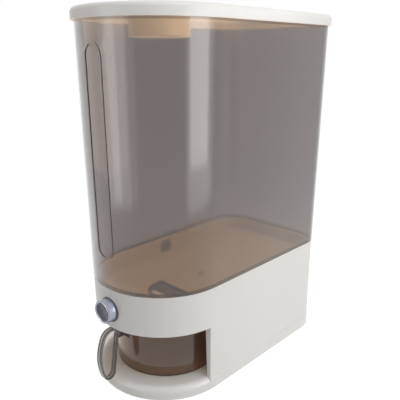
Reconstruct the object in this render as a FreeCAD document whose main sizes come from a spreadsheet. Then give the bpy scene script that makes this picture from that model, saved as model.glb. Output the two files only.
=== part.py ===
import FreeCAD, Part
import math
import os

import Sketcher
from FreeCAD import Placement, Rotation, Vector

# Rice dispenser with a measuring-cup drawer, in millimetres.
# +Z is up and the cup faces -Y. The origin is the middle of the footprint, on the surface it
# stands on. The base is a D in plan: a half-round bow at the front and a flat back.

os.makedirs("parts", exist_ok=True)
doc = FreeCAD.newDocument("rice_dispenser")
sheet = doc.addObject("Spreadsheet::Sheet", "Sizes")

SIZES = {
    # outline of the base, from which the rest follows
    "body_width": 156.4,
    "body_back": 149.6,
    "bow_centre": -58.8,
    "bow_lean": 2.7,
    "corner_radius": 32.0,
    # levels above the surface that it stands on
    "foot_standout": 1.0,
    "plinth_top": 14.9,
    "seam_level": 121.3,
    "overall_height": 396.0,
    # shells
    "plinth_standout": 0.6,
    "plinth_wall": 2.5,
    "plinth_round": 1.2,
    "sill_round": 7.0,
    "housing_wall": 2.5,
    "hopper_overhang": 0.6,
    "hopper_flare": 3.6,
    "hopper_wall": 2.2,
    "fit_gap": 0.2,
    "overlap": 0.5,
    # niche for the cup, below the housing's front band
    "band_height": 45.05,
    "niche_forward": 5.8,
    "jamb_low": 3.3,
    "jamb_high": 5.6,
    "jamb_thickness": 2.0,
    "jamb_gap": 0.3,
    "bay_wall": 2.0,
    "bay_roof": 1.4,
    "bay_setback": 1.3,
    # ledge in the housing, which carries the funnel
    "ledge_depth": 5.0,
    "ledge_width": 2.0,
    "ledge_height": 2.5,
    "rim_thickness": 2.0,
    "tongue_wall": 1.5,
    "step_height": 2.0,
    # funnel, measured down from the seam and back from the bow's centre
    "liner_wall": 1.5,
    "floor_wall": 2.0,
    "crease_front_depth": 25.3,
    "crease_back_depth": 18.3,
    "throat_depth": 32.3,
    "throat_width": 54.0,
    "throat_forward": 17.2,
    "throat_setback": 18.8,
    "throat_corner": 4.0,
    "neck_wall": 2.0,
    "neck_floor": 3.0,
    "slot_width": 46.0,
    "slot_length": 8.5,
    "slot_setback": 0.8,
    "slot_bevel": 2.0,
    "flange_boss_radius": 3.9,
    "flange_boss_height": 3.2,
    "floor_screw_setback": 60.8,
    "floor_boss_radius": 5.0,
    "floor_boss_depth": 7.8,
    "floor_boss_height": 3.0,
    "floor_seat_depth": 4.6,
    "dimple_radius": 9.8,
    "dimple_depth": 1.8,
    "dimple_wall": 1.2,
    "dimple_setback": 68.8,
    "dimple_below_seam": 14.6,
    # well in the funnel's front, which leaves room for the button and its spring
    "well_half_width": 17.0,
    "well_wall": 1.5,
    "well_forward": 3.0,
    "well_cover": 7.0,
    "well_break": 23.0,
    "well_length": 39.0,
    "well_rear_rise": 7.0,
    "well_cover_drop": 5.5,
    # shutter and its guide
    "guide_clearance": 0.75,
    "guide_plate": 2.0,
    "guide_rail": 10.0,
    "guide_forward": 11.0,
    "guide_setback": 9.0,
    "shutter_gap": 0.3,
    "shutter_thickness": 2.5,
    "shutter_width": 60.0,
    "shutter_margin": 9.0,
    "tongue_width": 12.0,
    "press_travel": 9.0,
    # push button, measured back from the front of the bow and up from the band's lower edge
    "button_rise": 20.75,
    "button_radius": 12.3,
    "button_standout": 9.3,
    "button_skirt": 20.0,
    "button_wall": 1.6,
    "button_face": 1.8,
    "button_dish": 1.3,
    "button_rim": 1.5,
    "button_edge": 0.7,
    "peg_radius": 2.6,
    "peg_length": 8.0,
    "lug_setback": 6.6,
    "lug_thickness": 2.5,
    "lug_width": 8.0,
    "lug_drop": 8.5,
    "lug_gap": 0.05,
    "bezel_radius": 13.6,
    "bezel_standout": 1.0,
    "bezel_thickness": 2.5,
    "bezel_wall": 0.5,
    "bezel_length": 11.0,
    "sleeve_wall": 2.0,
    "spring_radius": 4.0,
    "spring_wire": 0.5,
    "spring_turns": 7.0,
    "anchor_half_width": 9.0,
    "anchor_rise": 4.8,
    "anchor_plate": 2.0,
    "anchor_setback": 32.0,
    "anchor_foot": 3.0,
    # measuring cup
    "cup_setback": 3.8,
    "cup_rim_radius": 60.5,
    "cup_taper": 0.9,
    "cup_headroom": 1.85,
    "cup_wall": 1.8,
    "cup_floor": 2.0,
    "cup_edge": 1.0,
    "cup_gap": 0.2,
    "cup_bead": 0.8,
    "cup_bead_height": 2.6,
    "cup_step": 0.7,
    "cup_step_height": 13.1,
    "handle_width": 6.5,
    "handle_web": 1.6,
    "handle_band": 2.2,
    "handle_standout": 16.3,
    "handle_depth": 25.6,
    "handle_clearance": 1.7,
    "handle_belly_radius": 58.0,
    "handle_belly_height": 27.6,
    "handle_nose_radius": 13.0,
    "handle_toe_radius": 7.5,
    "handle_heel_radius": 5.0,
    "bridge_height": 13.0,
    "bridge_gusset": 7.0,
    # lid, measured down from its top
    "lid_height": 12.0,
    "lid_gap": 0.8,
    "lid_wall": 2.4,
    "lid_panel": 2.4,
    "lid_edge_round": 5.0,
    "plug_gap": 0.5,
    "plug_wall": 1.6,
    "plug_height": 8.6,
    "seal_thickness": 1.7,
    "seam_seal": 0.6,
    "soft_gap": 0.3,
    # moisture box under the lid
    "moisture_setback": 0.8,
    "moisture_radius": 31.0,
    "moisture_height": 24.4,
    "moisture_wall": 1.5,
    "spigot_height": 7.0,
    "spigot_wall": 1.6,
    "spigot_gap": 0.1,
    "cover_thickness": 2.0,
    "cover_lip": 5.0,
    "cover_edge": 1.0,
    "vent_width": 3.0,
    "vent_pitch": 8.0,
    "vent_radius": 22.0,
    "sachet_radius": 25.0,
    "sachet_height": 9.0,
    "sachet_shoulder": 6.0,
    # level frame on the hopper's bow
    "frame_half_width": 11.5,
    "frame_above_seam": 33.9,
    "frame_below_rim": 28.8,
    "frame_band": 2.6,
    "frame_height": 0.7,
    # feet and screws
    "foot_radius": 7.0,
    "foot_thickness": 2.5,
    "foot_edge": 0.6,
    "foot_stem_radius": 3.0,
    "foot_stem": 3.5,
    "foot_pad_radius": 9.0,
    "foot_inset": 26.2,
    "foot_setback": 41.0,
    "foot_from_back": 31.6,
    "screw_radius": 1.45,
    "pilot_clearance": 0.06,
    "screw_point": 1.2,
    "screw_head_radius": 3.2,
    "screw_head_height": 2.0,
    "screw_length": 14.0,
    "recess_arm": 1.7,
    "recess_slot": 0.35,
    "recess_depth": 1.1,
    "boss_radius": 4.2,
    "boss_height": 22.0,
    "side_boss_from_back": 79.6,
    "side_boss_setback": 38.8,
    "bay_boss_side": 34.0,
    "valve_screw_side": 36.0,
    "valve_screw_front": 7.0,
    "valve_screw_rear": 5.0,
    "valve_screw_length": 7.5,
    "floor_screw_length": 11.0,
}

for row, (alias, number) in enumerate(SIZES.items(), start=1):
    sheet.set(f"A{row}", alias.replace("_", " "))
    sheet.set(f"B{row}", str(number))
    sheet.setAlias(f"B{row}", alias)
doc.recompute()


class Size:
    """A length that knows its number and the spreadsheet formula it comes from."""

    def __init__(self, value, text):
        self.value = value
        self.text = text

    def __add__(self, other):
        other = as_size(other)
        return Size(self.value + other.value, f"({self.text} + {other.text})")

    def __sub__(self, other):
        other = as_size(other)
        return Size(self.value - other.value, f"({self.text} - {other.text})")

    def __mul__(self, other):
        other = as_size(other)
        return Size(self.value * other.value, f"({self.text} * {other.text})")

    def __truediv__(self, other):
        other = as_size(other)
        return Size(self.value / other.value, f"({self.text} / {other.text})")

    def __neg__(self):
        return Size(-self.value, f"(0 - {self.text})")

    def __radd__(self, other):
        return as_size(other) + self

    def __rsub__(self, other):
        return as_size(other) - self

    def __rmul__(self, other):
        return as_size(other) * self


def as_size(number):
    """A plain number is taken as it is."""
    if isinstance(number, Size):
        return number
    return Size(float(number), repr(float(number)))


def size(alias):
    """The driving size with this name."""
    return Size(float(sheet.get(alias)), f"Sizes.{alias}")


def root(square):
    return Size(math.sqrt(square.value), f"sqrt({square.text})")


def arc_cosine(ratio):
    """An angle in degrees."""
    return Size(math.degrees(math.acos(ratio.value)), f"acos({ratio.text})")


def bind(thing, prop, length):
    """Ties one property of an object to the spreadsheet."""
    thing.setExpression(prop, as_size(length).text)


# ---------------------------------------------------------------- sketches and features

TURN = {
    "XY_Plane": Rotation(),
    "XZ_Plane": Rotation(Vector(1, 0, 0), 90),
    "YZ_Plane": Rotation(Vector(1, 1, 1), 120),
}


def new_body(name):
    body = doc.addObject("PartDesign::Body", name)
    body.Label = name
    return body


def place(thing, x=0, y=0, z=0):
    bind(thing, "Placement.Base.x", x)
    bind(thing, "Placement.Base.y", y)
    bind(thing, "Placement.Base.z", z)


def body_sketch(body, name, role, offset=0):
    """A sketch on one of the body's origin planes, moved along the plane's normal."""
    sketch = body.newObject("Sketcher::SketchObject", name)
    base = next(f for f in body.Origin.OriginFeatures if f.Role == role)
    sketch.AttachmentSupport = [(base, "")]
    sketch.MapMode = "FlatFace"
    bind(sketch, "AttachmentOffset.Base.z", offset)
    return sketch


def free_sketch(name, role, offset=0):
    """A sketch of its own, parallel to an origin plane."""
    sketch = doc.addObject("Sketcher::SketchObject", name)
    sketch.Placement = Placement(Vector(), TURN[role])
    axis = {"XY_Plane": "z", "XZ_Plane": "y", "YZ_Plane": "x"}[role]
    bind(sketch, f"Placement.Base.{axis}", offset)
    return sketch


def fix(sketch, kind, name, length, *where):
    """One dimension of a sketch, tied to the spreadsheet."""
    length = as_size(length)
    index = sketch.addConstraint(Sketcher.Constraint(kind, *where, length.value))
    sketch.renameConstraint(index, name)
    sketch.setExpression(f".Constraints.{name}", length.text)


def fix_point(sketch, name, edge, end, x, y):
    fix(sketch, "DistanceX", f"{name}_x", x, -1, 1, edge, end)
    fix(sketch, "DistanceY", f"{name}_y", y, -1, 1, edge, end)


def point(x, y):
    return Vector(as_size(x).value, as_size(y).value, 0)


def circle(sketch, x, y, radius):
    number = sketch.GeometryCount
    shape = Part.Circle(point(x, y), Vector(0, 0, 1), as_size(radius).value)
    edge = sketch.addGeometry(shape)
    fix_point(sketch, f"centre{number}", edge, 3, x, y)
    fix(sketch, "Radius", f"radius{number}", radius, edge)


def polygon(sketch, corners):
    """A closed outline of straight edges through the corners."""
    first = sketch.GeometryCount
    count = len(corners)
    for k in range(count):
        sketch.addGeometry(Part.LineSegment(point(*corners[k]), point(*corners[(k + 1) % count])))
    for k in range(count):
        follower = first + (k + 1) % count
        sketch.addConstraint(Sketcher.Constraint("Coincident", first + k, 2, follower, 1))
    for k in range(count):
        fix_point(sketch, f"corner{first + k}", first + k, 1, *corners[k])


def rectangle(sketch, left, right, low, high):
    polygon(sketch, [(left, low), (right, low), (right, high), (left, high)])


def arc(centre, radius, start, end):
    """An arc of a circle, anticlockwise, with its angles in degrees."""
    whole = Part.Circle(centre, Vector(0, 0, 1), radius)
    return Part.ArcOfCircle(whole, math.radians(start), math.radians(end))


def join_smoothly(sketch, first, count, backwards=()):
    """Joins each edge's end to the next one's start, tangent. Edges in backwards run the other way."""
    for k in range(count):
        here = first + k
        after = first + (k + 1) % count
        leave = 1 if k in backwards else 2
        arrive = 2 if (k + 1) % count in backwards else 1
        sketch.addConstraint(Sketcher.Constraint("Tangent", here, leave, after, arrive))


def d_outline(sketch, half_width, bow, back, corner):
    """A half-round bow towards -Y, straight sides, and a flat back with round corners."""
    w, y, b, r = (as_size(v).value for v in (half_width, bow, back, corner))
    first = sketch.GeometryCount
    sketch.addGeometry(
        [
            arc(Vector(0, y, 0), w, 180, 360),
            Part.LineSegment(Vector(w, y, 0), Vector(w, b - r, 0)),
            arc(Vector(w - r, b - r, 0), r, 0, 90),
            Part.LineSegment(Vector(w - r, b, 0), Vector(r - w, b, 0)),
            arc(Vector(r - w, b - r, 0), r, 90, 180),
            Part.LineSegment(Vector(-w, b - r, 0), Vector(-w, y, 0)),
        ]
    )
    join_smoothly(sketch, first, 6)
    sketch.addConstraint(Sketcher.Constraint("Vertical", first + 1))
    sketch.addConstraint(Sketcher.Constraint("Vertical", first + 5))
    sketch.addConstraint(Sketcher.Constraint("Horizontal", first + 3))
    sketch.addConstraint(Sketcher.Constraint("Equal", first + 2, first + 4))
    fix_point(sketch, f"bow{first}", first, 3, 0, bow)
    fix(sketch, "Radius", f"half_width{first}", half_width, first)
    fix(sketch, "Radius", f"corner{first}", corner, first + 2)
    fix(sketch, "DistanceY", f"back{first}", back, -1, 1, first + 3, 1)


def stadium(sketch, radius, low, high):
    """Two half rounds joined by upright lines. low and high are its ends along the sketch's Y."""
    r, a, b = (as_size(v).value for v in (radius, low, high))
    first = sketch.GeometryCount
    sketch.addGeometry(
        [
            arc(Vector(0, a + r, 0), r, 180, 360),
            Part.LineSegment(Vector(r, a + r, 0), Vector(r, b - r, 0)),
            arc(Vector(0, b - r, 0), r, 0, 180),
            Part.LineSegment(Vector(-r, b - r, 0), Vector(-r, a + r, 0)),
        ]
    )
    join_smoothly(sketch, first, 4)
    sketch.addConstraint(Sketcher.Constraint("Equal", first, first + 2))
    fix_point(sketch, f"low{first}", first, 3, 0, low + radius)
    fix_point(sketch, f"high{first}", first + 2, 3, 0, high - radius)
    fix(sketch, "Radius", f"radius{first}", radius, first)


def pad(body, name, sketch, length, back=0, reverse=False):
    """Pads a sketch. back is how far it also goes the other way."""
    feature = body.newObject("PartDesign::Pad", name)
    feature.Profile = sketch
    feature.Reversed = reverse
    bind(feature, "Length", length)
    if back:
        feature.SideType = "Two sides"
        bind(feature, "Length2", back)
    return feature


def pocket(body, name, sketch, length=None, reverse=False, both=False):
    """Cuts a sketch's outline, to a depth or through everything."""
    feature = body.newObject("PartDesign::Pocket", name)
    feature.Profile = sketch
    feature.Reversed = reverse
    if length is None:
        feature.Type = "ThroughAll"
        if both:
            feature.SideType = "Symmetric"
    else:
        bind(feature, "Length", length)
    return feature


def loft(body, name, kind, sections):
    """A straight-sided loft through the sections. kind is Additive or Subtractive."""
    feature = body.newObject(f"PartDesign::{kind}Loft", name)
    feature.Profile = sections[0]
    feature.Sections = sections[1:]
    feature.Ruled = True
    return feature


def turn(body, name, sketch, kind="Revolution", angle=360, middle=False, axis="V_Axis"):
    feature = body.newObject(f"PartDesign::{kind}", name)
    feature.Profile = sketch
    feature.ReferenceAxis = (sketch, [axis])
    feature.Midplane = middle
    bind(feature, "Angle", angle)
    return feature


def cross_outline(sketch, half_arm, half_slot):
    """A plus-shaped outline for a screw's cross recess."""
    a = half_arm
    b = half_slot
    corners = [(-b, -a), (b, -a), (b, -b), (a, -b), (a, b), (b, b)]
    corners += [(b, a), (-b, a), (-b, b), (-a, b), (-a, -b), (-b, -b)]
    polygon(sketch, corners)


def group(name, members):
    """Separate solids that share one node."""
    compound = doc.addObject("Part::Compound", name)
    compound.Label = name
    compound.Links = members
    return compound


# ---------------------------------------------------------------- shared sizes

HALF = size("body_width") / 2
BACK = size("body_back")
BOW = size("bow_centre")
FRONT = BOW - HALF
CORNER = size("corner_radius")
FLOOR = size("plinth_top")
SEAM = size("seam_level")
BAND = SEAM - size("band_height")
LEDGE = SEAM - size("ledge_depth")
FUNNEL_TOP = LEDGE + size("rim_thickness")
CREASE_FRONT = SEAM - size("crease_front_depth")
CREASE_BACK = SEAM - size("crease_back_depth")
THROAT_TOP = SEAM - size("throat_depth")
TOP = size("overall_height")
LID_UNDERSIDE = TOP - size("lid_panel")
RIM = LID_UNDERSIDE - size("seal_thickness") - size("soft_gap")
HOPPER_LOW_HALF = HALF + size("hopper_overhang")
HOPPER_HALF = HOPPER_LOW_HALF + size("hopper_flare")
HOPPER_BACK = BACK + size("hopper_overhang")
HOPPER_CORNER = CORNER + size("hopper_overhang")

NICHE = BOW - size("niche_forward")
THROAT_FRONT = BOW - size("throat_forward")
THROAT_BACK = BOW + size("throat_setback")
SLOT = BOW + size("slot_setback")
FLOOR_SCREW = BOW + size("floor_screw_setback")
DIMPLE = BOW + size("dimple_setback")
CUP = BOW + size("cup_setback")
MOISTURE = BOW + size("moisture_setback")
GUIDE_FRONT = THROAT_FRONT - size("guide_forward")
GUIDE_REAR = THROAT_BACK + size("guide_setback")
LUG = FRONT + size("lug_setback")
ANCHOR = FRONT + size("anchor_setback")
BUTTON_FACE = FRONT - size("button_standout")

BUTTON = BAND + size("button_rise")
GUIDE_BOTTOM = BAND + size("guide_clearance")
SHUTTER_BOTTOM = GUIDE_BOTTOM + size("guide_plate") + size("shutter_gap")
NECK_BOTTOM = SHUTTER_BOTTOM + size("shutter_thickness") + size("shutter_gap")
NECK_TOP = NECK_BOTTOM + size("neck_floor")
DIMPLE_LEVEL = SEAM - size("dimple_below_seam")
HOLE = size("screw_radius") + size("pilot_clearance")
OVERLAP = size("overlap")
SIDE_BOSS = HALF - size("housing_wall") - size("boss_radius") + OVERLAP
TONGUE_INSET = size("housing_wall") + size("fit_gap")
LINING_INSET = size("housing_wall") + size("ledge_width") + size("fit_gap")
GUIDE_HALF = size("shutter_width") / 2 + size("shutter_gap") + size("guide_rail")
COLLAR_BORE = size("bezel_radius") - size("bezel_wall") + size("pilot_clearance")
COLLAR_RADIUS = COLLAR_BORE + size("sleeve_wall")


def bow_at(level):
    """The base's front leans back towards its foot, so its bow moves with height."""
    rise = as_size(level) - size("foot_standout")
    return BOW + size("bow_lean") * (1 - rise / (SEAM - size("foot_standout")))


def base_outline(sketch, level, inset=0):
    """The housing's outline at a level, moved inwards all round."""
    inset = as_size(inset)
    d_outline(sketch, HALF - inset, bow_at(level), BACK - inset, CORNER - inset)


def hopper_half(level):
    """The hopper widens steadily from the seam to its top."""
    return HOPPER_LOW_HALF + size("hopper_flare") * (as_size(level) - SEAM) / (RIM - SEAM)


def hopper_outline(sketch, level, inset=0):
    inset = as_size(inset)
    d_outline(sketch, hopper_half(level) - inset, BOW, HOPPER_BACK - inset, HOPPER_CORNER - inset)


def base_section(body, name, level, inset=0):
    sketch = body_sketch(body, name, "XY_Plane", level)
    base_outline(sketch, level, inset)
    return sketch


def round_sketch(body, name, level, places, radius):
    """Equal circles on a level plane."""
    sketch = body_sketch(body, name, "XY_Plane", level)
    for x, y in places:
        circle(sketch, x, y, radius)
    return sketch


def edges_at(feature, level):
    """The names of the edges that lie wholly at one height."""
    names = []
    for number, edge in enumerate(feature.Shape.Edges, start=1):
        box = edge.BoundBox
        if abs(box.ZMin - level) < 0.01 and abs(box.ZMax - level) < 0.01:
            names.append(f"Edge{number}")
    return names


def foot_places():
    side = HALF - size("foot_inset")
    rows = (FRONT + size("foot_setback"), BACK - size("foot_from_back"))
    return [(sx * side, y) for y in rows for sx in (-1, 1)]


def side_screw_places():
    rows = (BOW + size("side_boss_setback"), BACK - size("side_boss_from_back"))
    return [(sx * SIDE_BOSS, y) for y in rows for sx in (-1, 1)]


def bay_screw_places():
    """Behind the lining's round wall, and just joined to it."""
    side = size("bay_boss_side")
    reach = bay_half(FLOOR) + size("bay_wall") + size("boss_radius") - OVERLAP * 2
    y = BOW + size("bay_setback") + root(reach * reach - side * side)
    return [(-side, y), (side, y)]


def valve_screw_places():
    side = size("valve_screw_side")
    rows = (GUIDE_FRONT + size("valve_screw_front"), GUIDE_REAR - size("valve_screw_rear"))
    return [(sx * side, y) for y in rows for sx in (-1, 1)]


# ---------------------------------------------------------------- base

def base_plate():
    """A hollow plinth, a little wider than the housing. Its top is a rounded sill in the niche."""
    body = new_body("base_plate")
    foot = size("foot_standout")
    wall = size("plinth_wall")
    proud = size("plinth_standout")
    roof = FLOOR - wall
    shoulder = FLOOR - size("plinth_round")
    low = base_section(body, "PlinthFoot", foot, -proud)
    high = base_section(body, "PlinthShoulder", shoulder, -proud)
    loft(body, "PlinthBlock", "Additive", [low, high])
    low = base_section(body, "BevelFoot", shoulder, -proud)
    high = base_section(body, "BevelTop", FLOOR, size("plinth_round") - proud)
    loft(body, "PlinthBevel", "Additive", [low, high])
    low = base_section(body, "PlinthHollowFoot", foot, wall - proud)
    high = base_section(body, "PlinthHollowTop", roof, wall - proud)
    loft(body, "PlinthHollow", "Subtractive", [low, high])
    drop = roof - size("foot_thickness")
    pads = round_sketch(body, "FootPads", roof, foot_places(), size("foot_pad_radius"))
    pad(body, "FootPad", pads, drop, back=OVERLAP, reverse=True)
    socket = size("foot_stem_radius") + size("spigot_gap")
    sockets = round_sketch(body, "FootSockets", size("foot_thickness"), foot_places(), socket)
    pocket(body, "FootSocket", sockets, size("foot_stem") + OVERLAP, reverse=True)
    places = side_screw_places() + bay_screw_places()
    pocket(body, "ScrewHoles", round_sketch(body, "ScrewHole", FLOOR, places, HOLE))
    sill(body)
    return body


def sill(body):
    """Turned about the bow's own centre, so the rounding follows the bow between the jambs."""
    radius = size("sill_round")
    edge = body_sketch(body, "SillEdge", "YZ_Plane")
    centre = bow_at(FLOOR)
    bow_radius = HALF + size("plinth_standout")
    face = centre - bow_radius
    out = size("fit_gap")
    r = radius.value
    y = face.value
    z = FLOOR.value
    far = y - out.value
    above = z + out.value
    edge.addGeometry(
        [
            arc(Vector(y + r, z - r, 0), r, 90, 180),
            Part.LineSegment(Vector(y, z - r, 0), Vector(far, z - r, 0)),
            Part.LineSegment(Vector(far, z - r, 0), Vector(far, above, 0)),
            Part.LineSegment(Vector(far, above, 0), Vector(y + r, above, 0)),
            Part.LineSegment(Vector(y + r, above, 0), Vector(y + r, z, 0)),
        ]
    )
    for k in range(4):
        edge.addConstraint(Sketcher.Constraint("Coincident", k, 2, k + 1, 1))
    edge.addConstraint(Sketcher.Constraint("Coincident", 4, 2, 0, 1))
    for k, kind in ((1, "Horizontal"), (2, "Vertical"), (3, "Horizontal"), (4, "Vertical")):
        edge.addConstraint(Sketcher.Constraint(kind, k))
    fix_point(edge, "round", 0, 3, face + radius, FLOOR - radius)
    fix_point(edge, "start", 0, 2, face, FLOOR - radius)
    fix_point(edge, "far", 2, 2, face - out, FLOOR + out)
    spine = Part.LineSegment(Vector(centre.value, 0, 0), Vector(centre.value, z, 0))
    axis = edge.addGeometry(spine, True)
    fix_point(edge, "axis_foot", axis, 1, centre, 0)
    fix_point(edge, "axis_head", axis, 2, centre, FLOOR)
    sweep = 2 * arc_cosine((centre - NICHE) / HALF)
    turn(body, "SillRound", edge, "Groove", sweep, middle=True, axis="Axis0")


def foot(index, x, y):
    body = new_body(f"foot_{index}")
    profile = body_sketch(body, f"FootProfile{index}", "XZ_Plane")
    radius = size("foot_radius")
    thick = size("foot_thickness")
    edge = size("foot_edge")
    stem = size("foot_stem_radius")
    high = thick + size("foot_stem")
    corners = [(0, 0), (radius - edge, 0), (radius, edge), (radius, thick)]
    corners += [(stem, thick), (stem, high), (0, high)]
    polygon(profile, corners)
    turn(body, f"FootTurn{index}", profile)
    place(body, x, y, 0)
    return body


def feet():
    return group("feet", [foot(k, x, y) for k, (x, y) in enumerate(foot_places())])


def screw(name, x, y, z, length, flip=False):
    """A pan-head screw. Its shank runs up from the seat of its head, or down if it is flipped."""
    body = new_body(name)
    profile = body_sketch(body, name + "_profile", "XZ_Plane")
    head = size("screw_head_radius")
    tall = size("screw_head_height")
    shank = size("screw_radius")
    taper = size("screw_point")
    bevel = head / 4
    corners = [(0, -tall), (head - bevel, -tall), (head, bevel - tall), (head, 0), (shank, 0)]
    corners += [(shank, length - taper), (shank - taper * 0.95, length), (0, length)]
    polygon(profile, corners)
    turn(body, name + "_turn", profile)
    cross = body_sketch(body, name + "_cross", "XY_Plane", -tall)
    cross_outline(cross, size("recess_arm"), size("recess_slot"))
    pocket(body, name + "_recess", cross, size("recess_depth"), reverse=True)
    if flip:
        body.Placement = Placement(Vector(), Rotation(Vector(1, 0, 0), 180))
    place(body, x, y, z)
    return body


def base_screws():
    seat = FLOOR - size("plinth_wall")
    places = side_screw_places() + bay_screw_places()
    length = size("screw_length")
    rows = enumerate(places)
    return group("base_screws", [screw(f"base_screw_{k}", x, y, seat, length) for k, (x, y) in rows])


def base_housing():
    """The white shell between the plinth and the hopper, open at the front for the cup."""
    body = new_body("base_housing")
    wall = size("housing_wall")
    low = base_section(body, "ShellFoot", FLOOR)
    high = base_section(body, "ShellTop", SEAM)
    loft(body, "Shell", "Additive", [low, high])
    low = base_section(body, "ShellHollowFoot", FLOOR, wall)
    high = base_section(body, "ShellHollowTop", SEAM, wall)
    loft(body, "ShellHollow", "Subtractive", [low, high])
    ledge = base_section(body, "Ledge", LEDGE, wall - OVERLAP)
    base_outline(ledge, LEDGE, wall + size("ledge_width"))
    pad(body, "FunnelLedge", ledge, size("ledge_height"), reverse=True)
    ledge_notches(body)
    niche = body_sketch(body, "Niche", "XY_Plane", BAND)
    rectangle(niche, -HALF * 1.1, HALF * 1.1, FRONT - HALF / 2, NICHE)
    pocket(body, "NicheCut", niche)
    jambs(body)
    posts = round_sketch(body, "Posts", FLOOR, side_screw_places(), size("boss_radius"))
    pad(body, "ScrewPosts", posts, size("boss_height"))
    pilots = round_sketch(body, "Pilots", FLOOR, side_screw_places(), HOLE)
    pocket(body, "PilotHoles", pilots, size("screw_length"), reverse=True)
    button_bore(body)
    return body


def ledge_notches(body):
    """Gaps in the ledge, which the funnel's side sockets drop through."""
    reach = size("dimple_radius") + size("dimple_wall") + size("fit_gap")
    inner = HALF - size("housing_wall") - size("ledge_width") - OVERLAP
    outer = HALF - size("housing_wall")
    sketch = body_sketch(body, "LedgeGaps", "XY_Plane", LEDGE)
    rectangle(sketch, inner, outer, DIMPLE - reach, DIMPLE + reach)
    rectangle(sketch, -outer, -inner, DIMPLE - reach, DIMPLE + reach)
    pocket(body, "LedgeNotches", sketch, size("ledge_height") * 2)


def jambs(body):
    """Returns that stiffen the front edges of the niche. They narrow towards the foot."""
    faces = body_sketch(body, "Jambs", "XZ_Plane", -NICHE)
    outer = HALF - size("housing_wall") / 2
    low = HALF - size("jamb_low")
    high = HALF - size("jamb_high")
    polygon(faces, [(low, FLOOR), (outer, FLOOR), (outer, BAND), (high, BAND)])
    polygon(faces, [(-outer, FLOOR), (-low, FLOOR), (-high, BAND), (-outer, BAND)])
    pad(body, "JambReturns", faces, size("jamb_thickness"), reverse=True)


def bezel_seat():
    """The plane behind the bezel's flange."""
    return bow_at(BUTTON) - HALF - size("bezel_standout") + size("bezel_thickness")


def button_bore(body):
    """A collar behind the shell carries the bezel's sleeve. The flange lies in a flat recess."""
    front = bezel_seat() + OVERLAP
    rear = LUG - size("fit_gap")
    collar = body_sketch(body, "Collar", "XZ_Plane", -front)
    circle(collar, 0, BUTTON, COLLAR_RADIUS)
    pad(body, "ButtonCollar", collar, rear - front, reverse=True)
    recess = body_sketch(body, "Recess", "XZ_Plane", -bezel_seat())
    circle(recess, 0, BUTTON, size("bezel_radius") + size("spigot_gap"))
    pocket(body, "FlangeRecess", recess, size("bezel_thickness") * 2, reverse=True)
    hole = body_sketch(body, "Bore", "XZ_Plane", -rear)
    circle(hole, 0, BUTTON, COLLAR_BORE)
    pocket(body, "SleeveBore", hole, size("bezel_length"), reverse=True)


def bay_half(level):
    """The lining's half width. Its walls draw in a little towards the roof."""
    low = HALF - size("jamb_low") - size("jamb_gap") - size("bay_wall")
    draft = size("jamb_high") - size("jamb_low")
    return low - draft * (as_size(level) - FLOOR) / (BAND - FLOOR)


def cup_bay():
    """The niche's lining: a half-round wall behind the cup, and a roof with an opening."""
    body = new_body("cup_bay")
    centre = BOW + size("bay_setback")
    front = NICHE + size("fit_gap")
    sections = []
    for name, level in (("WallFoot", FLOOR), ("WallHead", BAND)):
        sketch = body_sketch(body, name, "XY_Plane", level)
        half = bay_half(level)
        bay_outline(sketch, half, half + size("bay_wall"), centre, front)
        sections.append(sketch)
    loft(body, "BaySide", "Additive", sections)
    roof = body_sketch(body, "Roof", "XY_Plane", BAND)
    disc = HALF - size("housing_wall") - size("fit_gap") * 2
    circle(roof, 0, bow_at(BAND), disc)
    pad(body, "BayRoof", roof, size("bay_roof"))
    window = body_sketch(body, "RoofWindow", "XY_Plane", BAND)
    side = GUIDE_HALF + OVERLAP * 2
    rectangle(window, -side, side, ANCHOR - size("anchor_foot") * 2, GUIDE_REAR + OVERLAP * 2)
    pocket(body, "RoofOpening", window, size("bay_roof") * 2, reverse=True)
    boss = size("boss_radius")
    posts = round_sketch(body, "BayPosts", FLOOR, bay_screw_places(), boss)
    pad(body, "BayScrewPosts", posts, size("boss_height"))
    floor_post = [(0, FLOOR_SCREW)]
    head = CREASE_FRONT - size("floor_boss_depth") - size("fit_gap")
    post = round_sketch(body, "RoofPost", BAND, floor_post, boss)
    pad(body, "FunnelPost", post, head - BAND)
    pilots = round_sketch(body, "BayPilots", FLOOR, bay_screw_places(), HOLE)
    pocket(body, "BayPilotHoles", pilots, size("screw_length"), reverse=True)
    pilot = round_sketch(body, "PostPilot", head, floor_post, HOLE)
    pocket(body, "PostPilotHole", pilot, size("floor_screw_length") - size("bay_roof"))
    return body


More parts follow.
